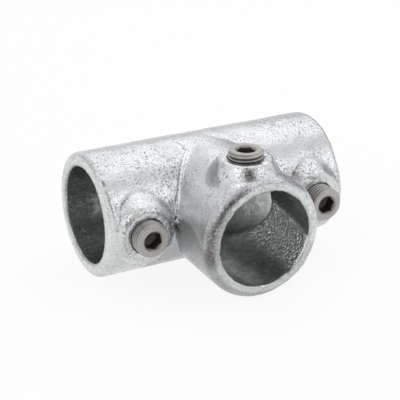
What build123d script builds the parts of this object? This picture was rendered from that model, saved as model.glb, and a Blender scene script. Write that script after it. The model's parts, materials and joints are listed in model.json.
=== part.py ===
from build123d import *
import math
import os

# Tube clamp tee fitting: a cast tee body and the three grub screws in its bosses.
#
# Frame: millimetres. The origin is where the run's axis crosses the branch's axis.
# The run lies along X, the branch points to -Y, and +Z is up.

# --- driving dimensions -------------------------------------------------------
tube_d = 33.7              # outside diameter of the tube that every socket takes
tube_clearance = 1.8       # play of that tube in a socket, on diameter
wall = 5.05                # wall of the run
branch_step = 0.1          # how much smaller the branch's radii are, inside and out
run_length = 94.6          # mouth to mouth
branch_reach = 46.9        # run axis to the branch's mouth
run_rim_round = 1.8        # outer edge of each mouth
branch_rim_round = 2.2
rim_break = 0.6            # inner edge of each mouth
outer_blend = 1.2          # corner between run and branch, outside
inner_blend = 4.0          # corner between the two bores, inside

run_screw_inset = 12.6     # run's mouth to the axis of its screw
branch_screw_inset = 15.0  # branch's mouth to the axis of its screw
run_boss_height = 26.3     # run axis to the face of a run boss
branch_boss_height = 25.3  # branch axis to the face of the branch boss
boss_face_d = 19.6
boss_face_round = 0.7      # edge of a boss's face
boss_draft = 20.0          # degrees between a boss's flank and its axis
branch_boss_blend = 1.5    # foot of the branch boss; the run bosses have a crisp foot

screw_d = 12.5             # over the thread
screw_length = 10.2
screw_clearance = 0.06     # radial, between a screw and its hole
hole_chamfer = 0.5         # where the hole leaves the boss's face
head_chamfer = 0.7         # on the end with the socket
point_chamfer = 1.5        # on the end that presses on the tube
cup_d = 7.0                # conical hollow in that end
cup_depth = 1.5
key_flats = 6.0            # hex socket, across flats
key_depth = 4.5            # of the flats
key_point = 1.5            # drilled cone below the flats
key_countersink = 0.4      # past the corners of the hex, radial
left_screw_out = 4.4       # how far each screw stands out of its boss
right_screw_out = 6.1
branch_screw_out = 2.9
left_screw_turn = 39.6     # how far each screw is turned, degrees
right_screw_turn = 8.1
branch_screw_turn = 33.4

# --- worked out ---------------------------------------------------------------
bore_r = (tube_d + tube_clearance) / 2
body_r = bore_r + wall
branch_bore_r = bore_r - branch_step
branch_body_r = body_r - branch_step
mouth_x = run_length / 2
run_screw_x = mouth_x - run_screw_inset
branch_screw_y = branch_screw_inset - branch_reach
past = 2.0                 # how far one solid runs on into another, or past what it cuts
spare = boss_face_d        # what each barrel is made too long by, cut off again at its mouth
boss_foot = branch_bore_r - past

# A barrel is drawn along +X. The branch's is turned to -Y, its seam underneath.
# The run's seam is turned up and back, away from the branch.
TO_BRANCH = Plane(origin=(0, 0, 0), x_dir=(0, -1, 0), z_dir=(1, 0, 0))
TO_RUN = Rot(45, 0, 0)

# A boss and its screw are drawn along +Z, outward from the tube's axis.
LEFT_SEAT = Location((-run_screw_x, 0, 0), (90, 0, 0))
RIGHT_SEAT = Location((run_screw_x, 0, 0), (90, 0, 0))
BRANCH_SEAT = Location((0, branch_screw_y, 0))

# node of the screw: where it sits, height of its boss, how far it stands out, its turn
SCREWS = {
    "run_screw_left": (LEFT_SEAT, run_boss_height, left_screw_out, left_screw_turn),
    "run_screw_right": (RIGHT_SEAT, run_boss_height, right_screw_out, right_screw_turn),
    "branch_screw": (BRANCH_SEAT, branch_boss_height, branch_screw_out, branch_screw_turn),
}


def barrel(start, end, radius):
    """A round bar along X."""
    outline = Pos((start + end) / 2, radius / 2) * Rectangle(end - start, radius)
    return revolve(outline, Axis.X)


def boss(height):
    """The leaning boss round a screw, from inside the tube's wall to its face."""
    foot_r = boss_face_d / 2 + (height - boss_foot) * math.tan(math.radians(boss_draft))
    middle = (boss_foot + height) / 2
    blank = Pos(0, 0, middle) * Cone(foot_r, boss_face_d / 2, height - boss_foot)
    face_edge = blank.edges().filter_by(GeomType.CIRCLE).sort_by(Axis.Z)[-1]
    return fillet(face_edge, boss_face_round)


def joined(first, second, blend):
    """Two solids as one, with a radius along the line where they meet."""
    both = first + second
    return fillet(new_edges(first, second, combined=both), blend)


def rounded_corner(start, centre, end):
    """A quarter circle between two corners of an outline, about its centre."""
    radius = (Vector(*start) - Vector(*centre)).length
    middle = Vector(*start) + Vector(*end) - Vector(*centre) * 2
    return ThreePointArc(start, Vector(*centre) + middle.normalized() * radius, end)


def beyond_mouth(mouth, inner_r, outer_r, rim_round):
    """What is cut away past a mouth at +X: it leaves a flat face with both its edges rounded."""
    break_x = mouth - rim_break
    round_x = mouth - rim_round
    far_x = mouth + spare + past
    far_r = max(run_boss_height, branch_boss_height) + past
    outline = Curve() + [
        Line((break_x, 0), (break_x, inner_r)),
        rounded_corner((break_x, inner_r), (break_x, inner_r + rim_break), (mouth, inner_r + rim_break)),
        Line((mouth, inner_r + rim_break), (mouth, outer_r - rim_round)),
        rounded_corner((mouth, outer_r - rim_round), (round_x, outer_r - rim_round), (round_x, outer_r)),
        Line((round_x, outer_r), (round_x, far_r)),
        Line((round_x, far_r), (far_x, far_r)),
        Line((far_x, far_r), (far_x, 0)),
        Line((far_x, 0), (break_x, 0)),
    ]
    return revolve(make_face(outline), Axis.X)


def cast_body():
    """The tee: two long barrels and three bosses, cut to length, bored and drilled."""
    run = TO_RUN * barrel(-mouth_x - spare, mouth_x + spare, body_r)
    branch = TO_BRANCH * barrel(0, branch_reach + spare, branch_body_r)
    body = joined(run, branch, outer_blend)
    body = joined(body, BRANCH_SEAT * boss(branch_boss_height), branch_boss_blend)
    body += LEFT_SEAT * boss(run_boss_height)
    body += RIGHT_SEAT * boss(run_boss_height)

    beyond_run = beyond_mouth(mouth_x, bore_r, body_r, run_rim_round)
    beyond_branch = beyond_mouth(branch_reach, branch_bore_r, branch_body_r, branch_rim_round)
    body -= beyond_run
    body -= beyond_run.mirror(Plane.YZ)
    body -= TO_BRANCH * beyond_branch

    run_bore = TO_RUN * barrel(-mouth_x - past, mouth_x + past, bore_r)
    branch_bore = TO_BRANCH * barrel(0, branch_reach + past, branch_bore_r)
    body -= joined(run_bore, branch_bore, inner_blend)

    for seat, height, _, _ in SCREWS.values():
        hole_r = screw_d / 2 + screw_clearance
        hole = Pos(0, 0, (height + past) / 2) * Cylinder(hole_r, height + past)
        lead_in = Pos(0, 0, height - hole_chamfer / 2) * Cone(
            hole_r, hole_r + hole_chamfer, hole_chamfer)
        body -= seat * (hole + lead_in)
    return body


def grub_screw():
    """A screw standing on its point at the origin, socket upwards."""
    blank = Pos(0, 0, screw_length / 2) * Cylinder(screw_d / 2, screw_length)
    blank = chamfer(blank.edges().filter_by(GeomType.CIRCLE).sort_by(Axis.Z)[-1], head_chamfer)
    blank = chamfer(blank.edges().filter_by(GeomType.CIRCLE).sort_by(Axis.Z)[0], point_chamfer)
    cup = Pos(0, 0, cup_depth / 2) * Cone(cup_d / 2, 0, cup_depth)

    corner_r = key_flats / math.sqrt(3)
    flats_end = screw_length - key_depth
    flats = Pos(0, 0, flats_end) * extrude(RegularPolygon(corner_r, 6), key_depth)
    point = Pos(0, 0, flats_end - key_point / 2) * Cone(0, key_flats / 2, key_point)
    sink_r = corner_r + key_countersink
    sink = Pos(0, 0, screw_length - sink_r / 2) * Cone(0, sink_r, sink_r)
    return blank - cup - (flats + point + sink)


os.makedirs("parts", exist_ok=True)
export_step(cast_body(), "parts/cast_body.step")
for node, (seat, height, out, turn) in SCREWS.items():
    point_height = height + out - screw_length
    placed = seat * Pos(0, 0, point_height) * Rot(0, 0, turn) * grub_screw()
    export_step(placed, f"parts/{node}.step")
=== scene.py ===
"""Looks of a tube clamp tee fitting: a galvanised casting and its three grub screws."""

import json
import math

import bmesh
import bpy
import numpy as np
from mathutils import Matrix, Vector


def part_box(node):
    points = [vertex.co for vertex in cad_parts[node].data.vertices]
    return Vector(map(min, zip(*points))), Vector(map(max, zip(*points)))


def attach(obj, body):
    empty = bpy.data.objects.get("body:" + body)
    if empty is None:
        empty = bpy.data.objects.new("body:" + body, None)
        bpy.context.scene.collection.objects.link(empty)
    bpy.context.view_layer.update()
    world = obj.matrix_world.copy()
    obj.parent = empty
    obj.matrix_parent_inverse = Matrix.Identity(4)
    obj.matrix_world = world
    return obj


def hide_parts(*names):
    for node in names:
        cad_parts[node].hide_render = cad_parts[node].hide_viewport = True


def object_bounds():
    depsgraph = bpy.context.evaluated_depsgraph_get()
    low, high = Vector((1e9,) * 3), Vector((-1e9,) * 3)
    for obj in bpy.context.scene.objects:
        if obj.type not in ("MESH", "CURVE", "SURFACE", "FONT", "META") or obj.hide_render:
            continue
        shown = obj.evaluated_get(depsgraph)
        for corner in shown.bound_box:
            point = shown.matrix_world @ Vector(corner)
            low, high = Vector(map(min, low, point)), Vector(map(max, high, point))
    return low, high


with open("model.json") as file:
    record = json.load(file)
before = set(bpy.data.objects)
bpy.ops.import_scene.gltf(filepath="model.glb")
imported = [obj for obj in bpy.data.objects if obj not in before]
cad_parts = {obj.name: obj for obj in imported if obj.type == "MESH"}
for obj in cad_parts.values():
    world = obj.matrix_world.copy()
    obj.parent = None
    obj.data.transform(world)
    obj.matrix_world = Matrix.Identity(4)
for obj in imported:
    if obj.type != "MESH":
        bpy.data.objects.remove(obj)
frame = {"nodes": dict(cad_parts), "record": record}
cad_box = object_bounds()

MM = 0.001

# --- sizes of the fitting, in millimetres; those of the casting come from the frame ---
MOUNTS = {m["name"]: m for m in frame["record"]["mounts"]}
RUN_BORE = MOUNTS["run_bore"]["dims"]["r_mm"]
BRANCH_BORE = MOUNTS["branch_bore"]["dims"]["r_mm"]
BODY_LOW, BODY_HIGH = (np.array(corner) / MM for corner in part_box("cast_body"))
MOUTH_X = BODY_HIGH[0]
BRANCH_REACH = -BODY_LOW[1]
RUN_R = BODY_HIGH[1]
BRANCH_R = RUN_R - (RUN_BORE - BRANCH_BORE)
BRANCH_BOSS_HEIGHT = BODY_HIGH[2]
RUN_BOSS_HEIGHT = BRANCH_BOSS_HEIGHT + 1.0
# rounds of the rims: how far inward across the end, how far back along the barrel
RUN_RIM_ROUND = (2.5, 1.9)
BRANCH_RIM_ROUND = (4.4, 4.0)
# beside its boss the branch's rim round reaches this much further back, between these heights
BOSS_SIDE_BACK = 5.0
BOSS_SIDE_HEIGHTS = (14, 20)
# how softly the casting's parts run into each other
OUTER_BLEND, INNER_BLEND, CROSSING_BLEND = 1.8, 6.0, 0.02
BORE_EDGE, HOLE_EDGE = 0.5, 0.3
# the bosses: the height of their foot, and how the mouths cut and fill the run's
BOSS_FOOT = 14
BOSS_MOUTH_GAP, BOSS_MOUTH_BLEND = 0.3, 3.0
BOSS_MOUTH_FILL = 3.5
BOSS_FILL_BACK = (5, 1)
# the branch's boss leans out in front: how much, and the cosines where that begins and is full
FRONT_LEAN = 0.30
FRONT_COSINES = (0.5, 0.95)

SCREW_R = 6.25
SCREW_HOLE_R = 6.31
THREAD_PITCH = 1.337
THREAD_DEPTH = 0.80
# the thread's profile: half its flat root and its slope as parts of a half turn, its roundness
THREAD_FLAT, THREAD_SLOPE, THREAD_ROUND = 0.14, 0.72, 0.35
THREAD_END = 0.04
HEAD_CHAMFER, POINT_CHAMFER = 0.7, 1.5
KEY_FLATS, KEY_DEPTH, KEY_POINT, KEY_COUNTERSINK = 6.0, 4.5, 1.5, 0.4
KEY_POINT_SHARES, KEY_WALL_RINGS = (0, 0.25, 0.6, 1), (0, 0.15, 1.7, 3.3)
CUP_R, CUP_DEPTH = 3.5, 1.5
CUP_SHARES = (1, 0.66, 0.33, 0)
SCREW_AROUND, THREAD_RINGS = 216, 100
SHARP_EDGE = 40
CASTING_GRID, WELD_GAP = 0.75, 0.002
SLOPE_STEP, SKIN_STEPS = 0.02, 5
LIMIT_BLEND = 0.6


class Screw:
    """Where a grub screw sits, read from its CAD node's box, and what its boss is like."""

    def __init__(self, node, body, up, turn, start, boss_height, face_r, draft, crease, edge):
        low, high = (np.array(corner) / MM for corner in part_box(node))
        self.node = node
        self.body = body
        self.up = np.array(up, float)
        self.side = np.array((1.0, 0.0, 0.0))
        self.turn = math.radians(turn)
        self.start = start
        self.boss_height = boss_height
        self.face_r = face_r
        self.draft = math.tan(math.radians(draft))
        self.crease = crease
        self.edge = edge
        middle = (low + high) / 2
        self.foot = middle - self.up * (middle @ self.up)
        self.head = max(low @ self.up, high @ self.up)
        self.tip = min(low @ self.up, high @ self.up)


FRONT, TOP = (0, -1, 0), (0, 0, 1)
SCREWS = [
    Screw("run_screw_left", "left_screw", FRONT, 39.6, 0.0, RUN_BOSS_HEIGHT, 10.0, 25, 0.5, 2.2),
    Screw("run_screw_right", "right_screw", FRONT, 8.1, 0.3, RUN_BOSS_HEIGHT, 9.6, 26.5, 0.4, 0.6),
    Screw("branch_screw", "top_screw", TOP, 33.4, 0.6, BRANCH_BOSS_HEIGHT, 9.3, 31, 0.3, 0.5),
]
LEFT_SCREW, TOP_SCREW = SCREWS[0], SCREWS[2]


# --- number fields over points ---
def smooth_max(a, b, width):
    """The larger of two fields, rounded over a band of this width where they cross."""
    h = np.clip(0.5 + 0.5 * (a - b) / width, 0, 1)
    return b + (a - b) * h + width * h * (1 - h)


def smooth_min(a, b, width):
    """The smaller of two fields, rounded over a band of this width where they cross."""
    return -smooth_max(-a, -b, width)


def smooth_step(low, high, value):
    """0 below low, 1 above high, and between them an S-curve: 3 t squared less 2 t cubed."""
    t = np.clip((value - low) / (high - low), 0, 1)
    return t * t * (3 - 2 * t)


def rounded_end(radial, along, radius, end, rim):
    """Distance to a bar of this radius that stops at this end, its edge a quarter of an ellipse.

    rim is how far the ellipse reaches (inward across the end, back along the bar).
    """
    inward, back = rim
    across = (radial - (radius - inward)) * (back / inward)
    past = along - (end - back)
    corner = np.hypot(np.maximum(across, 0), np.maximum(past, 0)) - back
    flat = np.maximum(radial - radius, along - end)
    return np.where((across > 0) & (past > 0), corner, flat)


def screw_axes(points, screw):
    """(height above the tube's axis, distance from the screw's axis) of each point."""
    height = points @ screw.up
    flat = points - screw.foot - height[:, None] * screw.up
    return height, np.linalg.norm(flat, axis=1)


def boss_distance(points, screw):
    """Signed distance to a boss: a cone that widens downward, cut by its face, foot and mouth."""
    x, y, _ = points.T
    height, radial = screw_axes(points, screw)
    spread = (screw.boss_height - height) * screw.draft
    if screw is TOP_SCREW:
        in_front = smooth_step(*FRONT_COSINES, (screw.foot[1] - y) / np.maximum(radial, 1e-6))
        spread = spread * (1 + FRONT_LEAN * in_front)
    flank = (radial - screw.face_r - spread) / math.hypot(1, screw.draft)
    boss = smooth_max(flank, height - screw.boss_height, screw.edge)
    boss = np.maximum(boss, BOSS_FOOT - height)
    return smooth_max(boss, np.abs(x) - MOUTH_X + BOSS_MOUTH_GAP, BOSS_MOUTH_BLEND)


def casting_distance(points):
    """Signed distance to the casting's skin: bars and cones joined softly, less bores and holes."""
    x, y, z = points.T
    from_run = np.hypot(y, z)
    from_branch = np.hypot(x, z)
    apart = 1 - z * z / np.maximum(from_run * from_branch, 1e-6)
    skin = rounded_end(from_run, np.abs(x), RUN_R, MOUTH_X, RUN_RIM_ROUND)
    inward, back = BRANCH_RIM_ROUND
    longer = back + BOSS_SIDE_BACK * smooth_step(*BOSS_SIDE_HEIGHTS, z)
    branch = rounded_end(from_branch, -y, BRANCH_R, BRANCH_REACH, (inward, longer))
    branch = np.maximum(branch, y)
    skin = smooth_min(skin, branch, CROSSING_BLEND + OUTER_BLEND * apart)
    far, near = BOSS_FILL_BACK
    fill = BOSS_MOUTH_FILL * smooth_step(MOUTH_X - far, MOUTH_X - near, np.abs(x))
    for screw in SCREWS:
        skin = smooth_min(skin, boss_distance(points, screw), screw.crease + fill)
    cavity = np.maximum(from_branch - BRANCH_BORE, y)
    cavity = smooth_min(from_run - RUN_BORE, cavity, CROSSING_BLEND + INNER_BLEND * apart)
    skin = smooth_max(skin, -cavity, BORE_EDGE)
    for screw in SCREWS:
        height, radial = screw_axes(points, screw)
        hole = np.maximum(radial - SCREW_HOLE_R, -height)
        skin = smooth_max(skin, -hole, HOLE_EDGE)
    return skin


def slope(field, points, step=SLOPE_STEP):
    """The unit direction in which a field grows fastest, by differences along each axis."""
    rise = [field(points + step * e) - field(points - step * e) for e in np.eye(3)]
    rise = np.stack(rise, 1)
    return rise / np.maximum(np.linalg.norm(rise, axis=1, keepdims=True), 1e-9)


# --- noise, spots and lines ---
CELL_CORNERS = np.array([(i, j, k) for i in (0, 1) for j in (0, 1) for k in (0, 1)], float)
AXIS_SEEDS = (0.0, 31.0, 67.0)
PRESENT_SEED, REACH_SEED = 97.0, 11.0
SCATTER_TURNS = np.array((127.1, 311.7, 74.7))
SCATTER_SEED, SCATTER_LENGTH = 17.37, 43758.5453
LUMP_HEIGHT = 1.6


def scatter(cells, seed):
    """One repeatable number from 0 to 1 for each whole-number cell: the fraction of a long sine."""
    turned = cells @ SCATTER_TURNS + seed * SCATTER_SEED
    return np.modf(np.abs(np.sin(turned)) * SCATTER_LENGTH)[0]


def lumps(points, size, seed):
    """Soft noise from -1 to 1: a random slope at each corner of a cube of this size, eased."""
    cell = np.floor(points / size)
    part = points / size - cell
    ease = part * part * part * (part * (part * 6 - 15) + 10)
    total = np.zeros(len(points))
    for corner in CELL_CORNERS:
        weight = np.prod(np.where(corner > 0, ease, 1 - ease), axis=1)
        tilt = np.stack([scatter(cell + corner, seed + k) for k in AXIS_SEEDS], 1) * 2 - 1
        total += weight * np.sum(tilt * (part - corner), axis=1)
    return LUMP_HEIGHT * total


def rough_lumps(points, size, seed, octaves=3):
    """Lumps with finer ones on them, each octave half the size and half the height."""
    total = np.zeros(len(points))
    for octave in range(octaves):
        total += lumps(points, size / 2 ** octave, seed + 5.0 * octave) / 2 ** octave
    return total


def pits(points, size, share, radius, seed):
    """Round hollows at random places: 1 at the middle of each, 0 beyond its radius."""
    cell = np.floor(points / size)
    deepest = np.zeros(len(points))
    for shift in np.stack(np.meshgrid(*[(-1, 0, 1)] * 3), -1).reshape(-1, 3):
        near = cell + shift
        middle = np.stack([scatter(near, seed + k) for k in AXIS_SEEDS], 1)
        present = scatter(near, seed + PRESENT_SEED) < share
        reach = radius * (0.5 + scatter(near, seed + REACH_SEED))
        away = np.linalg.norm(points - (near + middle) * size, axis=1) / reach
        deepest = np.maximum(deepest, np.where(present, smooth_step(0, 1, 1 - away), 0))
    return deepest


def bell(distance, width):
    """1 at no distance, falling to about a third at this width."""
    return np.exp(-(distance / width) ** 2)


def spot(points, centre, reach):
    """A bell round one place, with a width for each axis."""
    return bell(np.linalg.norm((points - centre) / np.array(reach), axis=1), 1.0)


def strongest(points, spots):
    """The largest share that a table of spots gives to each point."""
    return np.maximum.reduce([share * spot(points, place, reach) for place, reach, share in spots])


def near_line(points, line):
    """Distance to a broken line through a few places, and how far along it, 0 to 1."""
    line = np.array(line, float)
    steps = np.diff(line, axis=0)
    lengths = np.linalg.norm(steps, axis=1)
    reached = np.concatenate([[0], np.cumsum(lengths)]) / lengths.sum()
    best = np.full(len(points), 1e9)
    along = np.zeros(len(points))
    for begin, step, start, stop in zip(line[:-1], steps, reached[:-1], reached[1:]):
        part = np.clip((points - begin) @ step / (step @ step), 0, 1)
        away = np.linalg.norm(points - begin - part[:, None] * step, axis=1)
        nearer = away < best
        best = np.where(nearer, away, best)
        along = np.where(nearer, start + part * (stop - start), along)
    return best, along


# --- marks of casting and dipping ---
def on_run(along, turn, out=0.0):
    """A place by the run: its X, degrees up from the front, millimetres out of the barrel."""
    angle, radius = math.radians(turn), RUN_R + out
    return np.array((along, -radius * math.cos(angle), radius * math.sin(angle)))


def on_branch(back, turn, out=0.0):
    """A place by the branch: millimetres back from its mouth, degrees from +X up, out of the barrel."""
    angle, radius = math.radians(turn), BRANCH_R + out
    return np.array((radius * math.cos(angle), back - BRANCH_REACH, radius * math.sin(angle)))


# a fin of zinc in the corner between run and branch, with a groove and a short ridge beside it
FIN_TOP, FIN_FOOT = 21.8, 2.0
FIN_HEIGHT, FIN_WIDTH = 0.42, 0.26
FIN_SHIFT, FIN_LEAN = 3.9, 0.28
FIN_SWAY = 0.08
GROOVE_DEPTH, GROOVE_SIDE, GROOVE_WIDTH = 0.15, 0.75, 0.35
SIDE_RIDGE_HEIGHT, SIDE_RIDGE_WIDTH = 0.45, 0.6
SIDE_RIDGE = [
    on_run(-24, 27, -0.1), on_run(-23.6, 24.5), on_run(-23.1, 18, 0.4), on_run(-22.8, 11, 1.5),
]
# a crooked groove on top of the run
DRIP_DEPTH, DRIP_WIDTH = 0.32, 0.30
DRIP = [
    on_run(-11.8, 83.5), on_run(-11.3, 78), on_run(-10.4, 74.5), on_run(-11.4, 71), on_run(-10.3, 69),
]
# a bead of zinc round the front of the run's left mouth
BEAD_HEIGHT, BEAD_ROUGH, BEAD_WIDTH = 0.42, 0.32, 1.9
LEFT_BEAD = [
    on_run(-46, 74.5), on_run(-46, 65.5), on_run(-46, 47, -0.2), on_run(-45.8, 27, 0.1),
    on_run(-45.5, 13, 0.2),
]
# a painted dark reflection: a band round the left of the branch's rim
RIM_REFLECTION_BAND = [
    on_branch(4.4, 99, 0.1), on_branch(2.3, 107.5, -0.9), on_branch(1.9, 113.5, -1.3),
    on_branch(1.2, 126, -1.7), on_branch(0.6, 141.5, -2.2), on_branch(0.9, 154.5, -1.9),
    on_branch(1.2, 167, -1.7), on_branch(1.3, 179, -1.6), on_branch(1.4, 191.5, -1.5),
    on_branch(1.5, 206.5, -1.3),
]
# the line where the core's halves met in the branch: it sinks towards the mouth
SEAM_HEIGHT, SEAM_FALL, SEAM_BACK = 1.1, 0.147, 23.0
SEAM_RISE, SEAM_WIDTH, SEAM_SWAY = 0.32, 0.4, 0.3
SEAM_FADE, SEAM_FROM_X = (0.5, -1.5), (-12, 0)
# wrinkles under it: height, stretch on each axis, and where they fade on the left and below
WRINKLE_HEIGHT = 0.16
WRINKLE_STRETCH = np.array((0.6, 0.9, 1.2))
WRINKLE_FROM_X, WRINKLE_FROM_Z = (-12, -2), (-16, -11)
# a crust of dross beside the fin, and the darker place on it
DROSS_HEIGHT, DROSS_ROUGH, DROSS_FINE = 0.80, 0.95, 4.0
DROSS_PLACE, DROSS_REACH = on_branch(21.9, 174.5, 1.0), (3.6, 3.4, 3.6)
DROSS_DARK_PLACE, DROSS_DARK_REACH = on_branch(22.1, 175.5, 1.2), (4.0, 3.8, 4.2)
# a line on the face of the left boss, and the rough edge of each boss's face
RING_LINE_R, RING_LINE_WIDTH, RING_LINE_SWAY = 8.9, 0.28, 0.35
BOSS_EDGE_INSET, BOSS_EDGE_WIDTHS = 0.4, (1.3, 1.6)
PIT_DEPTH, PITS = 0.22, (2.6, 0.30, 0.75, 12.0)

# noise that varies these marks: size, seed
FIN_WANDER, FIN_BREAKS = (4.0, 4.0), (1.4, 9.0)
DRIP_BREAKS, BEAD_LUMPS = (1.1, 8.0), (2.6, 71.0)
SEAM_WANDER, SEAM_BREAKS = (4.0, 21.0), (1.8, 27.0)
WRINKLE_WAVES, DROSS_LUMPS = (1.25, 25.0), (1.8, 60.0)
RING_WANDER = (3.0, 33.0)
# lumps all over: height, size, seed, and the zone that they lie in
LUMP_LAYERS = [
    (0.12, 13, 1, "outside"),
    (0.05, 4.2, 2, "outside"),
    (0.55, 2.4, 50, "torn"),
    (0.12, 3, 55, "face"),
    (0.10, 3.6, 26, "bore"),
    (0.35, 5, 28, "inner_lip"),
]
FINE_LUMPS, BOSS_EDGE_LUMPS = (0.03, 1.7, 3.0), (0.22, 2.4, 40.0)

# lumps and hollows in one place each: where, how wide, how high
SPOTS = [
    (on_run(-45.2, 15, 0.4), (1.5, 1.8, 3.8), 0.75),
    (on_run(-24.2, 9.5, 1.1), (1.6, 1.2, 1), 0.55),
    (on_branch(21, 172, 0.1), (0.9, 1.2, 0.9), 0.60),
    (on_branch(21.9, 176.5, 0.6), (0.8, 1, 0.7), -0.55),
    (on_run(-25.2, 5, 1.9), (0.9, 0.9, 0.6), -0.45),
    (on_branch(18.7, 174.5, 0.1), (0.8, 1, 0.6), 0.35),
    (on_branch(21.7, 187, 0.2), (0.7, 0.8, 0.6), -0.35),
    (on_branch(23.5, 197, 0.4), (0.9, 0.6, 0.5), -0.35),
    (on_branch(25.8, 209.5, 0.4), (0.7, 0.7, 0.5), -0.35),
    (on_run(-46.8, 25, -0.7), (0.7, 0.7, 0.7), -0.40),
    (on_run(-44.7, 12, 0.9), (0.8, 0.8, 0.6), -0.40),
    (on_run(-47.2, 0.5, -1.9), (0.6, 0.6, 0.6), -0.35),
    (on_branch(38.5, 108.5), (0.5, 0.5, 0.5), -0.35),
    (on_run(30.4, 83.5), (2.6, 2.2, 1.6), -0.22),
    (on_run(30.5, 84.5), (0.7, 0.6, 0.6), -0.30),
    (on_run(-37, 198.5, -5), (1.6, 1.2, 1.6), 0.60),
]
# where dark specks gather: where, how wide, how many
FRECKLES = [
    (on_run(-20, 48.5, -0.1), (8, 8, 7), 1.0),
    (on_run(-28, 55.5, 0.2), (9, 6, 5), 0.7),
    (on_branch(4.9, 98, -0.5), (6, 4, 4), 0.9),
    (on_run(22, 31, 0.5), (4, 5, 6), 0.9),
    (on_run(38, 38.5, 2.8), (6, 6, 5), 0.7),
    (on_branch(0.9, 223, -3.6), (8, 3, 6), 0.7),
    (on_run(30, 90, 0.2), (12, 8, 5), 0.6),
    (on_run(30.5, 21.5, 3), (4.5, 4, 4), 1.0),
    (on_run(35, 28.5, 2.3), (6, 4, 3), 0.9),
    (on_branch(0, 270, -3.7), (12, 2, 5), 0.8),
    (on_branch(0, 18.5, -3.7), (6, 2, 10), 0.6),
    (on_branch(0.9, 79, -1.3), (9, 3, 3), 0.8),
]
# pale, torn places: where, how wide, how strong
TORN = [
    (on_run(-45.8, 10.5, -0.6), (2.2, 3, 5.5), 1.0),
    (on_run(-46, -16.5, -1.4), (2.4, 4, 6), 0.8),
    (on_run(-41.5, -12, 3.6), (3.5, 2, 4.5), 0.9),
    (on_run(-33, -21.5, 4.7), (6, 2.2, 3.5), 0.7),
    (on_run(-24.8, -15.5, 1.7), (2.6, 3.2, 5), 0.9),
    (on_run(-46.6, 60, -0.7), (1.4, 4, 4), 0.8),
    (on_run(-46.9, 41.5, -0.8), (1.4, 4, 4), 0.9),
    (on_run(-38.5, 20, 4.4), (4, 1.6, 1.8), 0.6),
    (on_branch(0, 313, -3.6), (8, 1.5, 8), 0.8),
    (on_run(33, 16.5, 4.5), (6, 1.2, 1.8), 0.7),
]
# matt places, whose zinc scatters the light: where, how wide, how strong
MATT = [
    (on_branch(13.9, 182.5, -1.2), (5, 12, 9), 0.9),
    (DROSS_PLACE, (3.5, 3.5, 4), 0.8),
    (on_run(28.3, 11, 4), (3.5, 1.2, 4), 0.9),
]
# dull brown-grey patches: where, how wide, how strong
DARK_PATCHES = [
    (on_branch(4.3, 100, 0.6), (1.9, 1.8, 2.4), 0.9),
    (on_branch(9.9, 67, 1.7), (2.2, 4, 2.5), 0.7),
    (on_branch(3.9, 67.5, -0.5), (2, 1.6, 1.6), 0.5),
    (on_run(27, 23.5, 1.2), (2.6, 3, 3.4), 0.8),
    (on_run(33, 20, 3.8), (2.2, 2, 1.6), 0.4),
    (on_branch(0.2, 87, -2.2), (7, 1.5, 2.4), 0.3),
    (on_run(38.8, 23, 2.7), (0.8, 1, 0.7), 0.8),
    (on_run(-42.5, -2.5, 1.7), (1.5, 1.8, 4), 0.4),
]

# how far outside a wall, or inside a mouth, a zone begins and is full
BORE_FADE, FACE_FADE, LIP_FADE = (1.2, 0.4), (0.5, 0.15), (3.0, 0.4)
BRANCH_BORE_FROM_Y = (-5, -8)


def in_bore(radial, bore):
    """1 within a bore and at its wall, 0 well outside it."""
    begins, full = BORE_FADE
    return smooth_step(bore + begins, bore + full, radial)


def in_branch_bore(points):
    """1 inside the branch's bore in front of the crossing, 0 outside it."""
    x, y, z = points.T
    return in_bore(np.hypot(x, z), BRANCH_BORE) * smooth_step(*BRANCH_BORE_FROM_Y, y)


def by_mouth(along, mouth, fade):
    """1 at a mouth, 0 further back along its barrel."""
    begins, full = fade
    return smooth_step(mouth - begins, mouth - full, along)


def where_on_casting(points):
    """Shares from 0 to 1 that say which zone a point belongs to."""
    x, y, z = points.T
    in_run = in_bore(np.hypot(y, z), RUN_BORE)
    in_branch = in_branch_bore(points)
    run_face = by_mouth(np.abs(x), MOUTH_X, FACE_FADE) * (1 - in_run)
    branch_face = by_mouth(-y, BRANCH_REACH, FACE_FADE) * (1 - in_branch)
    bore = np.maximum(in_run, in_branch)
    face = np.maximum(run_face, branch_face)
    outside = (1 - bore) * (1 - face)
    return {
        "bore": bore,
        "in_branch": in_branch,
        "inner_lip": by_mouth(-y, BRANCH_REACH, LIP_FADE) * in_branch,
        "face": face,
        "outside": outside,
        "torn": strongest(points, TORN) * outside,
    }


def fin_offset(points):
    """How far each point lies to the branch's side of the fin, whose line is nearly x = y."""
    x, y, z = points.T
    return (x - y - FIN_SHIFT + FIN_LEAN * z) / math.sqrt(2)


def fin_length(points):
    """1 along the fin, fading at its two ends."""
    x, y, z = points.T
    upper = smooth_step(FIN_TOP + 0.5, FIN_TOP - 3.0, z)
    lower = smooth_step(FIN_FOOT - 0.5, FIN_FOOT + 1.5, z)
    return upper * lower * smooth_step(-8, -9.5, x) * smooth_step(-6, -8, y)


def fin(points):
    """A thin ridge down the corner where x and y are nearly equal, with a broken groove beside it."""
    across = fin_offset(points) + FIN_SWAY * lumps(points, *FIN_WANDER)
    broken = np.clip(0.7 + lumps(points, *FIN_BREAKS), 0, 1)
    groove = GROOVE_DEPTH * bell(across + GROOVE_SIDE, GROOVE_WIDTH) * broken
    return fin_length(points) * (FIN_HEIGHT * bell(across, FIN_WIDTH) - groove)


def patch_and_band_share(points):
    """Share of the brown-grey paint: dark patches, and a painted dark reflection in a band round the
    left of the branch's rim.
    """
    away, along = near_line(points, RIM_REFLECTION_BAND)
    width = 1.2 + 1.4 * smooth_step(0.1, 0.5, along)
    strength = (0.65 + 0.35 * smooth_step(0.3, 0.6, along)) * smooth_step(1.0, 0.85, along)
    return np.maximum(strongest(points, DARK_PATCHES), strength * bell(away, width))


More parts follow.
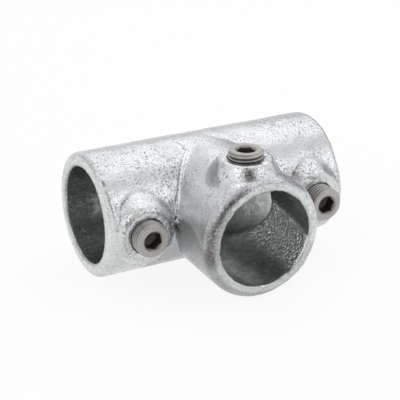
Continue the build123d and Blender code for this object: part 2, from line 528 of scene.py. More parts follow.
def ring_line(points):
    """A dark line round the face of the run's left boss: a circle that wanders."""
    height, radial = screw_axes(points, LEFT_SCREW)
    near_face = smooth_step(LEFT_SCREW.boss_height - 1.2, LEFT_SCREW.boss_height - 0.6, height)
    upper = 0.6 + 0.4 * smooth_step(-5, 1, points[:, 2])
    wander = RING_LINE_SWAY * lumps(points, *RING_WANDER)
    return 0.8 * near_face * upper * bell(radial - RING_LINE_R - wander, RING_LINE_WIDTH)


def crescent(points):
    """Painted dark reflection on the smooth flank on the left of the branch's boss, between its foot and
    its ring.

    It begins further round for points that lie higher, so that its left end slants.
    """
    x, y, _ = points.T
    height, radial = screw_axes(points, TOP_SCREW)
    drop = TOP_SCREW.boss_height - height
    beyond = radial - TOP_SCREW.face_r
    turned = np.degrees(np.arctan2(y - TOP_SCREW.foot[1], -x))
    flank = smooth_step(0.1, 0.5, beyond) * smooth_step(0.75, 0.45, beyond - drop * TOP_SCREW.draft)
    begins = smooth_step(-3, 3, turned - 14 + 5.2 * drop)
    return flank * begins * smooth_step(95, 80, turned)


def boss_edge(points, screw):
    """Nearness to the rough edge of a boss's face, 0 to 1."""
    height, radial = screw_axes(points, screw)
    down, across = BOSS_EDGE_WIDTHS
    on_edge = bell(height - screw.boss_height + BOSS_EDGE_INSET, down)
    return on_edge * bell(radial - screw.face_r + BOSS_EDGE_INSET, across)


def above_seam(points):
    """Height above the line where the core's halves met, along the branch's bore."""
    y, z = points[:, 1], points[:, 2]
    return z - (SEAM_HEIGHT + SEAM_FALL * (y + BRANCH_REACH - SEAM_BACK))


def wrinkled(points):
    """Share of the crooked wrinkles below the core's seam, in the right half of the branch's bore."""
    x, y, z = points.T
    below = smooth_step(*SEAM_FADE, above_seam(points)) * smooth_step(*WRINKLE_FROM_Z, z)
    behind_mouth = smooth_step(BRANCH_REACH - 0.3, BRANCH_REACH - 1.5, -y)
    return below * smooth_step(*WRINKLE_FROM_X, x) * in_branch_bore(points) * behind_mouth


def bore_relief(points, zone):
    """In the branch's bore: a broken ridge where the core's halves met, and wrinkles below it."""
    off_seam = above_seam(points) + SEAM_SWAY * lumps(points, *SEAM_WANDER)
    broken = np.clip(0.55 + 1.2 * lumps(points, *SEAM_BREAKS), 0, 1)
    right = smooth_step(*SEAM_FROM_X, points[:, 0]) * zone["in_branch"]
    waves = lumps(points * WRINKLE_STRETCH, *WRINKLE_WAVES) * wrinkled(points)
    return SEAM_RISE * bell(off_seam, SEAM_WIDTH) * broken * right + WRINKLE_HEIGHT * waves


def relief(points, zone):
    """Height of the zinc above the true skin in millimetres: all its lumps, runs and pits, summed."""
    height = fin(points) + bore_relief(points, zone)
    for rise, size, seed, name in LUMP_LAYERS:
        height += rise * rough_lumps(points, size, seed) * zone[name]
    rise, size, seed = FINE_LUMPS
    height += rise * lumps(points, size, seed)
    away, along = near_line(points, SIDE_RIDGE)
    ends = smooth_step(0, 0.3, along) * smooth_step(1.0, 0.8, along)
    height += SIDE_RIDGE_HEIGHT * bell(away, SIDE_RIDGE_WIDTH) * ends
    away, along = near_line(points, DRIP)
    broken = np.clip(0.5 + 1.4 * lumps(points, *DRIP_BREAKS), 0, 1)
    height -= DRIP_DEPTH * bell(away, DRIP_WIDTH) * broken
    away, along = near_line(points, LEFT_BEAD)
    ends = smooth_step(0, 0.25, along) * smooth_step(1.0, 0.75, along)
    bead = BEAD_HEIGHT + BEAD_ROUGH * rough_lumps(points, *BEAD_LUMPS)
    height += bead * bell(away, BEAD_WIDTH) * ends
    for place, reach, rise in SPOTS:
        height += rise * spot(points, place, reach)
    rise, size, seed = BOSS_EDGE_LUMPS
    for index, screw in enumerate(SCREWS):
        height += rise * boss_edge(points, screw) * rough_lumps(points, size, seed + index)
    height -= PIT_DEPTH * pits(points, *PITS) * zone["outside"]
    dross = DROSS_HEIGHT + DROSS_ROUGH * rough_lumps(points, *DROSS_LUMPS)
    return height + dross * spot(points, DROSS_PLACE, DROSS_REACH)


def fine_work(points):
    """Where the zinc has detail smaller than the casting's grid: True at those points."""
    x, y, z = points.T
    corner = (np.abs(fin_offset(points)) < 1.6) & (x < -8) & (y < -5) & (z > -2) & (z < 23)
    ridge = near_line(points, SIDE_RIDGE)[0] < 1.4
    drip = near_line(points, DRIP)[0] < 1.0
    dross = np.linalg.norm(points - DROSS_PLACE, axis=1) < DROSS_FINE
    ring = np.zeros(len(points), bool)
    for screw in SCREWS:
        height, radial = screw_axes(points, screw)
        ring |= (height > screw.boss_height - 1.6) & (radial < screw.face_r + 1.2)
    torn = (strongest(points, TORN) > 0.4) & (x < -22) & (y < -8)
    return corner | ridge | drip | dross | ring | torn | (wrinkled(points) > 0.3)


def casting_shares(points, zone):
    """The shares that the zinc's material reads, by name."""
    bore, face = zone["bore"], zone["face"]
    along_fin, off_fin = fin_length(points), fin_offset(points)
    drip_dirt = bell(near_line(points, DRIP)[0], 0.4)
    below_seam = smooth_step(*SEAM_FADE, above_seam(points))
    torn = strongest(points, TORN) * (1 - bore)
    return {
        "bore": bore,
        "mouth_face": face,
        "dross": np.maximum(spot(points, DROSS_DARK_PLACE, DROSS_DARK_REACH), drip_dirt),
        "freckled": np.maximum(strongest(points, FRECKLES), 0.35 * face) * (1 - bore),
        "wrinkled": wrinkled(points),
        # painted light: the lower half of the branch's bore, below the core's seam, made paler as if lit
        # from above
        "lower_bore": below_seam * zone["in_branch"] * (1 - face),
        # painted highlight along the fin's ridge
        "fin_edge": along_fin * bell(off_fin, 0.34),
        # painted shadow beside the fin, and a dark line round the left boss's face
        "crease_dirt": np.maximum(along_fin * bell(off_fin + 0.60, 0.28), ring_line(points)),
        # dark patches, and a painted dark reflection in a band round the left of the branch's rim
        "stained": patch_and_band_share(points),
        # painted dark reflection on the left flank of the branch's boss
        "smooth_grey": crescent(points),
        "torn": np.maximum(torn, 0.55 * face),
        "matt": np.maximum(torn, strongest(points, MATT)),
    }


# --- meshes ---
def new_object(name, mesh, material, body, node):
    """A finished piece that stands for a CAD node and rides on its body."""
    piece = bpy.data.objects.new(name, mesh)
    bpy.context.scene.collection.objects.link(piece)
    mesh.materials.clear()
    mesh.materials.append(material)
    mesh.polygons.foreach_set("use_smooth", np.ones(len(mesh.polygons), bool))
    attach(piece, body)
    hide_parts(node)
    return piece


def remeshed_casting(voxel):
    """The CAD casting as one even mesh of small squares."""
    cad = frame["nodes"]["cast_body"]
    blank = bpy.data.objects.new("blank", cad.data.copy())
    bpy.context.scene.collection.objects.link(blank)
    welded = bmesh.new()
    welded.from_mesh(blank.data)
    bmesh.ops.remove_doubles(welded, verts=welded.verts, dist=WELD_GAP * MM)
    welded.to_mesh(blank.data)
    welded.free()
    remesh = blank.modifiers.new("even", "REMESH")
    remesh.mode = "VOXEL"
    remesh.voxel_size = voxel * MM
    depsgraph = bpy.context.evaluated_depsgraph_get()
    mesh = bpy.data.meshes.new_from_object(blank.evaluated_get(depsgraph))
    bpy.data.objects.remove(blank)
    return mesh


def finer(mesh, chosen):
    """Each square whose corners are all chosen becomes four, and its neighbours are stitched to it."""
    work = bmesh.new()
    work.from_mesh(mesh)
    work.verts.ensure_lookup_table()
    edges = [e for e in work.edges if chosen[e.verts[0].index] and chosen[e.verts[1].index]]
    bmesh.ops.subdivide_edges(work, edges=edges, cuts=1, use_grid_fill=True)
    bmesh.ops.triangulate(work, faces=[f for f in work.faces if len(f.verts) > 4])
    work.to_mesh(mesh)
    work.free()


def mesh_points(mesh):
    """The mesh's points in millimetres."""
    points = np.empty(len(mesh.vertices) * 3)
    mesh.vertices.foreach_get("co", points)
    return points.reshape(-1, 3) / MM


def onto_skin(points):
    """Points drawn onto the casting's skin by a few steps down its distance field."""
    for _ in range(SKIN_STEPS):
        points = points - casting_distance(points)[:, None] * slope(casting_distance, points)
    return points


def inside_box(points):
    """Points kept inside the casting's box: gently at its three mouths, plainly behind and below."""
    x, y, z = points.T
    x = np.sign(x) * smooth_min(np.abs(x), MOUTH_X, LIMIT_BLEND)
    y = np.minimum(-smooth_min(-y, BRANCH_REACH, LIMIT_BLEND), RUN_R)
    return np.stack([x, y, np.maximum(z, -RUN_R)], 1)


def add_share(mesh, name, values):
    """A number from 0 to 1 on each point, for the material to read."""
    share = mesh.attributes.new(name, "FLOAT", "POINT")
    share.data.foreach_set("value", np.clip(values, 0, 1).astype(np.float32))


def casting(material):
    """The casting's skin with its zinc: points drawn onto the skin, then raised by the relief."""
    mesh = remeshed_casting(CASTING_GRID)
    points = onto_skin(mesh_points(mesh))
    mesh.vertices.foreach_set("co", (points * MM).ravel())
    finer(mesh, fine_work(points))
    points = onto_skin(mesh_points(mesh))
    zone = where_on_casting(points)
    raised = points + relief(points, zone)[:, None] * slope(casting_distance, points)
    mesh.vertices.foreach_set("co", (inside_box(raised) * MM).ravel())
    mesh.update()
    for name, values in casting_shares(points, zone).items():
        add_share(mesh, name, values)
    return new_object("casting", mesh, material, "tee", "cast_body")


def closed_rings(name, rings):
    """Rings of points joined by quads into a closed skin.

    The first and last rings are single points, closed by fans of triangles.
    """
    middle = rings[1:-1]
    count, around = middle.shape[:2]
    points = np.vstack([middle.reshape(-1, 3), rings[0, :1], rings[-1, :1]])
    index = np.arange(count * around).reshape(count, around)
    ahead = np.roll(index, -1, axis=1)
    quads = np.stack([index[:-1], ahead[:-1], ahead[1:], index[1:]], -1).reshape(-1, 4)
    start = np.stack([np.full(around, count * around), ahead[0], index[0]], -1)
    stop = np.stack([np.full(around, count * around + 1), index[-1], ahead[-1]], -1)
    mesh = bpy.data.meshes.new(name)
    mesh.from_pydata((points * MM).tolist(), [], quads.tolist() + start.tolist() + stop.tolist())
    mesh.update()
    return mesh


def ring_values(values):
    """A value for each of closed_rings' points, in their order."""
    return np.concatenate([values[1:-1].ravel(), values[0, :1], values[-1, :1]])


def plain_rings(rings):
    """(radii, depths) of rings whose radius and depth are each one number or one for each angle."""
    return [np.array([np.broadcast_to(ring[part], SCREW_AROUND) for ring in rings]) for part in (0, 1)]


def socket_rings():
    """The key's socket from its point to its countersink.

    The point is a cone. The walls are a hexagon: half the key's width over the cosine of the angle
    from the middle of a flat, and the countersink cuts it where depth and radius add to its width.
    """
    angle = np.arange(SCREW_AROUND) * 2 * math.pi / SCREW_AROUND
    hexagon = KEY_FLATS / 2 / np.cos(np.mod(angle, math.pi / 3) - math.pi / 6)
    sink = KEY_FLATS / math.sqrt(3) + KEY_COUNTERSINK
    point = [(KEY_FLATS / 2 * t, KEY_DEPTH + KEY_POINT * (1 - t)) for t in KEY_POINT_SHARES]
    walls = [(hexagon, KEY_DEPTH - up) for up in KEY_WALL_RINGS] + [(hexagon, sink - hexagon)]
    head = [(sink, 0.0), (SCREW_R - HEAD_CHAMFER, 0.0)]
    return plain_rings(point + walls), plain_rings(head)


def thread_rings(length, start):
    """The thread: a helix of depth plus one pitch for each turn, cut at both ends by a cone."""
    angle = np.arange(SCREW_AROUND) * 2 * math.pi / SCREW_AROUND
    depth = np.linspace(THREAD_END, length - THREAD_END, THREAD_RINGS)[:, None]
    turns = np.mod(depth / THREAD_PITCH + angle / (2 * math.pi) + start, 1)
    rise = np.clip((np.abs(2 * turns - 1) - THREAD_FLAT) / THREAD_SLOPE, 0, 1)
    rise = THREAD_ROUND * smooth_step(0, 1, rise) + (1 - THREAD_ROUND) * rise
    radius = SCREW_R - THREAD_DEPTH * (1 - rise)
    radius = np.minimum(radius, SCREW_R - HEAD_CHAMFER + depth)
    radius = np.minimum(radius, SCREW_R - POINT_CHAMFER + length - depth)
    return radius, np.broadcast_to(depth, radius.shape)


def grub_screw(name, screw, material):
    """A threaded grub screw turned from rings of (radius, depth below the head), socket first."""
    length = screw.head - screw.tip
    socket, head = socket_rings()
    cup = [(CUP_R * t, length - CUP_DEPTH * (1 - t)) for t in CUP_SHARES]
    cup = plain_rings([(SCREW_R - POINT_CHAMFER, length)] + cup)
    parts = [socket, head, thread_rings(length, screw.start), cup]
    radii, depths = (np.concatenate([part[side] for part in parts]) for side in (0, 1))
    ends = np.cumsum([len(part[0]) for part in parts])
    socket_shade_share, valley_shade_share = np.zeros_like(radii), np.zeros_like(radii)
    # painted shade: darker deeper in the socket
    rows = slice(0, ends[0])
    socket_shade_share[rows] = smooth_step(0.15, 1.2, depths[rows])
    # painted shade down in the thread's valleys
    rows = slice(ends[1], ends[2])
    below_crest = smooth_step(0.15, 0.65, SCREW_R - radii[rows])
    valley_shade_share[rows] = below_crest * smooth_step(0.7, 1.2, depths[rows])

    angle = np.arange(SCREW_AROUND) * 2 * math.pi / SCREW_AROUND + screw.turn
    third = np.cross(screw.up, screw.side)
    spoke = np.cos(angle)[:, None] * screw.side + np.sin(angle)[:, None] * third
    grid = screw.foot + radii[..., None] * spoke + (screw.head - depths)[..., None] * screw.up
    mesh = closed_rings(name, grid[::-1])
    add_share(mesh, "socket", ring_values(socket_shade_share[::-1]))
    add_share(mesh, "valley", ring_values(valley_shade_share[::-1]))
    mesh.set_sharp_from_angle(angle=math.radians(SHARP_EDGE))
    return new_object(name, mesh, material, screw.body, screw.node)


# --- materials ---
class Nodes:
    """A node tree, laid down one node at a time."""

    def __init__(self, tree):
        self.tree = tree

    def node(self, kind, numbers=None, **settings):
        """A new node with these settings, and these numbers on its input sockets."""
        made = self.tree.nodes.new(kind)
        for name, value in settings.items():
            setattr(made, name, value)
        for socket, value in (numbers or {}).items():
            made.inputs[socket].default_value = value
        return made

    def put(self, value, socket):
        """A number, a colour or another node's output on this socket."""
        if isinstance(value, (int, float)):
            socket.default_value = value
        elif isinstance(value, tuple):
            socket.default_value = (*value, 1)
        else:
            self.tree.links.new(value, socket)

    def maths(self, operation, *values):
        made = self.node("ShaderNodeMath", operation=operation)
        for value, socket in zip(values, made.inputs):
            self.put(value, socket)
        return made.outputs[0]

    def times(self, first, second):
        return self.maths("MULTIPLY", first, second)

    def plus(self, first, second):
        return self.maths("ADD", first, second)

    def larger(self, first, second):
        return self.maths("MAXIMUM", first, second)

    def ramp(self, value, low, high, start=0.0, stop=1.0, kind="LINEAR"):
        """Values from low to high carried to start to stop, and held beyond."""
        numbers = {"From Min": low, "From Max": high, "To Min": start, "To Max": stop}
        made = self.node("ShaderNodeMapRange", numbers, interpolation_type=kind)
        self.put(value, made.inputs["Value"])
        return made.outputs["Result"]


class Shading(Nodes):
    """A material: patterns on the Object coordinates, and the colour painted so far."""

    def __init__(self, name, colour=None):
        self.material = bpy.data.materials.new(name)
        self.material.use_nodes = True
        super().__init__(self.material.node_tree)
        self.shader = self.tree.nodes["Principled BSDF"]
        self.place = self.node("ShaderNodeTexCoord").outputs["Object"]
        self.colour = colour

    def share(self, name):
        """A number that the mesh carries on each of its points."""
        return self.node("ShaderNodeAttribute", attribute_name=name).outputs["Fac"]

    def scaled(self, sizes, shift=0.0, turn=(0.0, 0.0, 0.0)):
        """Coordinates that grow by 1 over these millimetres on each axis."""
        scale = [1 / MM / size for size in sizes]
        place = (shift, shift * 0.7, -shift)
        mapping = self.node("ShaderNodeMapping", {"Location": place, "Rotation": turn, "Scale": scale})
        self.put(self.place, mapping.inputs["Vector"])
        return mapping.outputs["Vector"]

    def noise_on(self, vector, detail, rough, distortion=0.0):
        """Noise with lumps about 1 across on these coordinates."""
        numbers = {"Scale": 1.0, "Detail": detail, "Roughness": rough, "Distortion": distortion}
        made = self.node("ShaderNodeTexNoise", numbers)
        self.put(vector, made.inputs["Vector"])
        return made.outputs["Fac"]

    def noise(self, size, detail=3.0, rough=0.55, shift=0.0):
        """Noise whose lumps are about this many millimetres across."""
        return self.noise_on(self.scaled((size,) * 3, shift), detail, rough)

    def ripples(self, across, along):
        """Short crooked wrinkles, this many millimetres across and along."""
        return self.noise_on(self.scaled((along, across, across), turn=RIPPLE_TURN), *RIPPLE_NOISE)

    def specks(self, spacing, reach, share):
        """Small irregular dots, 1 inside: spacing in millimetres, reach as a part of it, share there."""
        vector = self.scaled((spacing,) * 3)
        bent = self.node("ShaderNodeTexNoise", {"Scale": SPECK_BEND_SCALE})
        self.put(vector, bent.inputs["Vector"])
        moved = self.node("ShaderNodeVectorMath", {1: SPECK_BEND}, operation="MULTIPLY_ADD")
        self.put(bent.outputs["Color"], moved.inputs[0])
        self.put(vector, moved.inputs[2])
        cells = self.node("ShaderNodeTexVoronoi", {"Scale": 1.0})
        self.put(moved.outputs[0], cells.inputs["Vector"])
        chance = self.node("ShaderNodeSeparateColor")
        self.put(cells.outputs["Color"], chance.inputs[0])
        present = self.ramp(chance.outputs[0], share + 0.05, share - 0.05)
        return self.times(self.ramp(cells.outputs["Distance"], reach, reach * 0.45), present)

    def paint(self, share, colour):
        """This share of a colour over what is painted so far."""
        made = self.node("ShaderNodeMix", data_type="RGBA")
        self.put(share, made.inputs["Factor"])
        self.put(self.colour, made.inputs["A"])
        self.put(colour, made.inputs["B"])
        self.colour = made.outputs["Result"]

    def bump(self, height, reach, strength):
        """Surface tilt from a height of 0 to 1, reach millimetres high."""
        made = self.node("ShaderNodeBump", {"Strength": strength, "Distance": reach * MM})
        self.put(height, made.inputs["Height"])
        self.put(made.outputs["Normal"], self.shader.inputs["Normal"])


# wrinkles: how they are turned in radians, and their detail, roughness and distortion
RIPPLE_TURN, RIPPLE_NOISE = (0.5, 0.0, 0.5), (0.6, 0.4, 0.8)
RIPPLE_ACROSS, RIPPLE_ALONG, RIPPLE_STRENGTH = 0.85, 1.9, 3.4
SPECK_BEND_SCALE, SPECK_BEND = 1.7, (0.9, 0.9, 0.9)
# specks: spacing in millimetres, reach as a part of it, share present
FINE_SPECKS, COARSE_SPECKS, DENSE_SPECKS = (0.66, 0.36, 0.72), (1.6, 0.28, 0.30), (0.95, 0.40, 0.75)
# heights of the zinc's bumps: what a bump of 1 stands for in millimetres, and its parts
BUMP_REACH, BLOTCH_BUMP, GRAIN_BUMP, SPECK_BUMP = 0.25, 0.25, 0.55, -0.5
# linear colours of the zinc
SILVER, LILAC_CLOUD, GREY_GRAIN = (0.68, 0.692, 0.708), (0.59, 0.60, 0.622), (0.54, 0.54, 0.55)
# the crease grey is a painted shadow beside the fin and a dark ring line
# the flank's grey is a painted dark reflection
FLANK_REFLECTION_GREY, SPECK_GREY, FIN_SHADOW_AND_RING_GREY = (0.33, 0.335, 0.35), (0.16, 0.16, 0.165), (0.17, 0.17, 0.18)
# the bore's pale is painted light on its lower half
BORE_DULL, BORE_LIGHT_PALE, BORE_MOTTLE = (0.47, 0.50, 0.485), (0.70, 0.72, 0.72), (0.30, 0.32, 0.31)
# the fin's white is a painted highlight
# the wrinkles' white is painted light
WRINKLE_LIGHT_WHITE, FIN_HIGHLIGHT_WHITE = (0.94, 0.96, 0.95), (0.86, 0.87, 0.88)
PALE_GREEN, WORN_GREEN, DROSS_GREEN = (0.84, 0.87, 0.85), (0.34, 0.37, 0.33), (0.16, 0.18, 0.145)
# the brown of dark patches and of a painted dark reflection round the branch's rim
PATCH_AND_REFLECTION_BROWN = (0.125, 0.12, 0.112)
# linear colours of the screws
STEEL_BROWN, STEEL_PALE, STEEL_RUBBED = (0.40, 0.385, 0.37), (0.50, 0.485, 0.465), (0.58, 0.565, 0.545)
# painted shade in the thread's valleys and in the socket
VALLEY_SHADE, SOCKET_SHADE = (0.075, 0.072, 0.07), (0.09, 0.083, 0.077)
STEEL_METALLIC, STEEL_BUMP = 0.75, 0.05


def zinc_material():
    """Hot-dipped zinc: silver with lilac-grey clouds, dark specks, pale green faces and dull bores, with
    painted light on the lower bore, a painted highlight and shadow at the fin, and painted dark
    reflections on the boss's flank and the branch's rim.
    """
    zinc = Shading("hot dip zinc", SILVER)
    clouds = zinc.noise(10.0, 4.0, 0.6)
    blotches = zinc.noise(3.0, 3.0, 0.6, 4.0)
    grain = zinc.noise(0.9, 3.0, 0.6, 17.0)
    small = zinc.noise(1.7, 4.0, 0.65, 29.0)
    gather = zinc.noise(9.0, 3.0, 0.6, 13.0)
    bore, face = zinc.share("bore"), zinc.share("mouth_face")
    torn, matt = zinc.share("torn"), zinc.share("matt")
    freckled, wrinkled_share = zinc.share("freckled"), zinc.share("wrinkled")

    zinc.paint(zinc.ramp(clouds, 0.42, 0.62), LILAC_CLOUD)
    zinc.paint(zinc.ramp(grain, 0.45, 0.70, 0.0, 0.5), GREY_GRAIN)
    # painted dark reflection on the left flank of the branch's boss
    zinc.paint(zinc.times(zinc.share("smooth_grey"), 0.8), FLANK_REFLECTION_GREY)
    zinc.paint(zinc.times(bore, zinc.ramp(grain, 0.40, 0.62, 0.75, 1.0)), BORE_DULL)
    # painted light: the lower half of the branch's bore paler, as if lit from above
    zinc.paint(zinc.times(zinc.share("lower_bore"), 0.7), BORE_LIGHT_PALE)
    zinc.paint(zinc.times(bore, zinc.ramp(blotches, 0.46, 0.60, 0.0, 0.45)), BORE_MOTTLE)
    # painted light on the wrinkles low in the branch's bore
    zinc.paint(zinc.times(wrinkled_share, 0.9), WRINKLE_LIGHT_WHITE)
    gathered = zinc.larger(zinc.ramp(gather, 0.40, 0.60, 0.15, 0.85), freckled)
    specks = zinc.times(zinc.larger(zinc.specks(*FINE_SPECKS), zinc.specks(*COARSE_SPECKS)), gathered)
    specks = zinc.larger(specks, zinc.times(zinc.specks(*DENSE_SPECKS), freckled))
    zinc.paint(specks, SPECK_GREY)
    pale = zinc.times(face, zinc.ramp(grain, 0.36, 0.60, 0.75, 0.25))
    pale = zinc.larger(pale, zinc.times(torn, zinc.ramp(grain, 0.34, 0.60, 0.9, 0.3)))
    zinc.paint(pale, PALE_GREEN)
    zinc.paint(zinc.times(zinc.larger(torn, face), zinc.ramp(small, 0.50, 0.62, 0.0, 0.45)), WORN_GREEN)
    # dark brown-grey patches, and a painted dark reflection in a band round the branch's rim
    zinc.paint(zinc.times(zinc.share("stained"), zinc.ramp(grain, 0.34, 0.54, 0.5, 1.0)), PATCH_AND_REFLECTION_BROWN)
    # painted highlight along the fin's ridge
    zinc.paint(zinc.times(zinc.share("fin_edge"), 0.9), FIN_HIGHLIGHT_WHITE)
    # painted shadow beside the fin, and a dark line round the left boss's face
    crease = zinc.times(zinc.share("crease_dirt"), zinc.ramp(grain, 0.38, 0.56, 0.0, 0.9))
    zinc.paint(crease, FIN_SHADOW_AND_RING_GREY)
    zinc.paint(zinc.times(zinc.share("dross"), zinc.ramp(grain, 0.44, 0.54, 0.1, 1.0)), DROSS_GREEN)
    zinc.put(zinc.colour, zinc.shader.inputs["Base Color"])

    zinc.put(zinc.ramp(matt, 0.0, 1.0, 1.0, 0.5), zinc.shader.inputs["Metallic"])
    rough = zinc.ramp(blotches, 0.35, 0.65, 0.15, 0.24)
    for share, more in ((bore, 0.12), (zinc.larger(torn, matt), 0.25), (wrinkled_share, -0.13)):
        rough = zinc.plus(rough, zinc.times(share, more))
    zinc.put(rough, zinc.shader.inputs["Roughness"])

    height = zinc.plus(zinc.times(grain, GRAIN_BUMP), zinc.times(specks, SPECK_BUMP))
    height = zinc.plus(zinc.times(blotches, BLOTCH_BUMP), height)
    waves = zinc.ripples(RIPPLE_ACROSS, RIPPLE_ALONG)
    waves = zinc.times(waves, zinc.times(wrinkled_share, RIPPLE_STRENGTH))
    zinc.bump(zinc.plus(height, waves), BUMP_REACH, 1.0)
    return zinc.material


def screw_material():
    """Plain dark steel, gone matt and a little brown, paler where it has rubbed, with painted shade in
    its thread's valleys and its socket.
    """
    steel = Shading("screw steel", STEEL_BROWN)
    mottle = steel.noise(1.6, 3.0, 0.6)
    dust = steel.noise(0.35, 2.0, 0.6, 5.0)
    steel.paint(steel.ramp(mottle, 0.35, 0.68), STEEL_PALE)
    steel.paint(steel.ramp(dust, 0.52, 0.66, 0.0, 0.4), STEEL_RUBBED)
    # painted shade in the thread's valleys
    steel.paint(steel.times(steel.share("valley"), 0.85), VALLEY_SHADE)
    # painted shade deeper in the socket
    steel.paint(steel.times(steel.share("socket"), 0.95), SOCKET_SHADE)
    steel.put(steel.colour, steel.shader.inputs["Base Color"])
    steel.shader.inputs["Metallic"].default_value = STEEL_METALLIC
    steel.put(steel.ramp(mottle, 0.3, 0.7, 0.42, 0.62), steel.shader.inputs["Roughness"])
    steel.bump(dust, STEEL_BUMP, 0.5)
    return steel.material


# --- floor, lights, world, camera ---
# the floor: half its width in metres, its gap under the fitting in millimetres, its glow
FLOOR_HALF, FLOOR_GAP = 3.0, 0.15
FLOOR_COLOUR, FLOOR_ROUGHNESS = (0.93, 0.94, 0.93), 0.9
GLOW_COLOUR, FLOOR_GLOW = (0.995, 1.0, 0.99), 0.9
# softboxes: name, azimuth and elevation in degrees, distance and size in metres, watts
LAMPS = [
    ("back right", 135, 52, 0.6, 0.56, 0.42),
    ("front right", 32, 36, 0.6, 0.30, 0.16),
    ("front left", -62, 38, 0.6, 0.28, 0.16),
    ("top", 180, 84, 0.6, 0.30, 0.11),
]
# the tent's dim slot: its azimuth, the sines where its sides begin and are full, the cosines
# where its front begins and is full, and the share of light lost
SLOT_AZIMUTH = -20.0
SLOT_SIDES, SLOT_FRONT = (0.38, 0.13), (0.05, 0.45)
SLOT_LOSS = 0.92
# dim places of the tent: direction, share of light lost, cosines where it begins and is full
DIM_PLACES = [
    ((0.87, 0.48, 0.05), 0.65, 0.82, 0.96),
    ((0.436, -0.41, 0.80), 0.14, 0.93, 0.99),
    ((0.44, 0.90, 0.00), 0.30, 0.95, 0.995),
    ((-0.60, 0.80, -0.05), 0.45, 0.88, 0.985),
    ((-0.45, 0.75, 0.48), 0.10, 0.85, 0.97),
]
# the camera: angles in degrees, distance and shifts in millimetres, lens and sensor in millimetres
VIEW_AZIMUTH, VIEW_ELEVATION, VIEW_ROLL = (math.radians(v) for v in (-28.4784, 23.9294, 0.5467))
VIEW_DISTANCE, VIEW_ASIDE, VIEW_ABOVE = 464.555, -0.387, -3.264
VIEW_LENS, VIEW_SENSOR = 112.19, 36
VIEW_NEAR, VIEW_FAR = 0.01, 20


def direction(azimuth, elevation):
    """The unit vector at this azimuth from the front and this elevation, in radians."""
    level = math.cos(elevation)
    return Vector((math.sin(azimuth) * level, -math.cos(azimuth) * level, math.sin(elevation)))


def add_stage():
    """A pale floor just under the fitting, lit from below like a light table, with a faint shadow."""
    floor_mesh = bpy.data.meshes.new("floor")
    half = FLOOR_HALF
    level = cad_box[0][2] - FLOOR_GAP * MM
    corners = [(-half, -half, level), (half, -half, level), (half, half, level), (-half, half, level)]
    floor_mesh.from_pydata(corners, [], [(0, 1, 2, 3)])
    floor = bpy.data.objects.new("floor", floor_mesh)
    bpy.context.scene.collection.objects.link(floor)
    pale = Shading("pale floor")
    pale.put(FLOOR_COLOUR, pale.shader.inputs["Base Color"])
    pale.shader.inputs["Roughness"].default_value = FLOOR_ROUGHNESS
    glow = pale.node("ShaderNodeEmission", {"Color": (*GLOW_COLOUR, 1), "Strength": 1.0})
    path = pale.node("ShaderNodeLightPath").outputs
    seen = pale.larger(path["Is Camera Ray"], path["Is Glossy Ray"])
    seen = pale.larger(seen, path["Is Transmission Ray"])
    blend = pale.node("ShaderNodeMixShader")
    pale.put(pale.times(seen, FLOOR_GLOW), blend.inputs[0])
    pale.put(pale.shader.outputs[0], blend.inputs[1])
    pale.put(glow.outputs[0], blend.inputs[2])
    pale.put(blend.outputs[0], pale.tree.nodes["Material Output"].inputs["Surface"])
    floor_mesh.materials.append(pale.material)


def add_light(name, azimuth, elevation, distance, size, watts):
    """A square softbox aimed at the fitting."""
    back = direction(math.radians(azimuth), math.radians(elevation))
    lamp = bpy.data.lights.new(name, "AREA")
    lamp.shape = "SQUARE"
    lamp.size = size
    lamp.energy = watts
    light = bpy.data.objects.new(name, lamp)
    light.location = back * distance
    light.rotation_mode = "QUATERNION"
    light.rotation_quaternion = (-back).to_track_quat("-Z", "Y")
    bpy.context.scene.collection.objects.link(light)


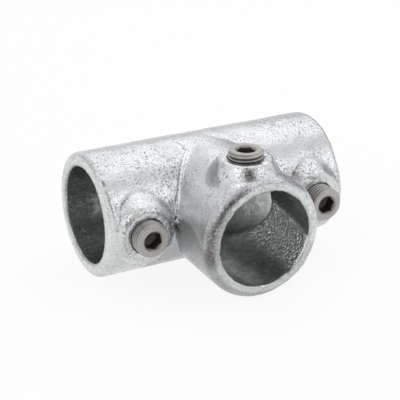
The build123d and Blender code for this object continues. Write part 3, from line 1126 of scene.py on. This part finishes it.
def add_world():
    """A white tent with a dim slot in front, and dimmer far corners.

    Each direction's brightness is 1, less a share that grows with its nearness to each dim place.
    The slot runs from the table up to the top: near its upright plane, and on the front side of it.
    """
    world = bpy.data.worlds.new("studio")
    bpy.context.scene.world = world
    world.use_nodes = True
    tent = Nodes(world.node_tree)
    background = tent.tree.nodes["Background"]
    background.inputs["Color"].default_value = (1, 1, 1, 1)
    outward = tent.node("ShaderNodeTexCoord").outputs["Generated"]

    def towards(aim):
        made = tent.node("ShaderNodeVectorMath", {1: aim}, operation="DOT_PRODUCT")
        tent.put(outward, made.inputs[0])
        return made.outputs["Value"]

    def eased(value, far, near):
        return tent.ramp(value, far, near, kind="SMOOTHSTEP")

    def kept(share, loss):
        return tent.maths("SUBTRACT", 1.0, tent.times(share, loss))

    turn = math.radians(SLOT_AZIMUTH)
    off_plane = tent.maths("ABSOLUTE", towards((math.cos(turn), math.sin(turn), 0.0)))
    in_front = eased(towards((math.sin(turn), -math.cos(turn), 0.0)), *SLOT_FRONT)
    light = kept(tent.times(eased(off_plane, *SLOT_SIDES), in_front), SLOT_LOSS)
    for aim, loss, far, near in DIM_PLACES:
        light = tent.times(light, kept(eased(towards(aim), far, near), loss))
    tent.put(light, background.inputs["Strength"])


def add_camera():
    """A long lens, in front and a little above, round to the left."""
    distance, aside, above = VIEW_DISTANCE * MM, VIEW_ASIDE * MM, VIEW_ABOVE * MM
    back = direction(VIEW_AZIMUTH, VIEW_ELEVATION)
    right = Vector((math.cos(VIEW_AZIMUTH), math.sin(VIEW_AZIMUTH), 0))
    up = back.cross(right)
    turned_right = math.cos(VIEW_ROLL) * right + math.sin(VIEW_ROLL) * up
    turned_up = math.cos(VIEW_ROLL) * up - math.sin(VIEW_ROLL) * right
    camera = bpy.data.objects.new("camera", bpy.data.cameras.new("camera"))
    camera.data.lens = VIEW_LENS
    camera.data.sensor_width = VIEW_SENSOR
    camera.data.clip_start = VIEW_NEAR
    camera.data.clip_end = VIEW_FAR
    pose = Matrix((turned_right, turned_up, back)).transposed().to_4x4()
    pose.translation = distance * back + aside * turned_right + above * turned_up
    camera.matrix_world = pose
    bpy.context.scene.collection.objects.link(camera)
    bpy.context.scene.camera = camera


bpy.context.scene.view_settings.view_transform = "Standard"
casting(zinc_material())
steel_look = screw_material()
for screw in SCREWS:
    grub_screw(screw.node.replace("run_", "") + "_piece", screw, steel_look)
add_stage()
add_world()
for lamp in LAMPS:
    add_light(*lamp)
add_camera()
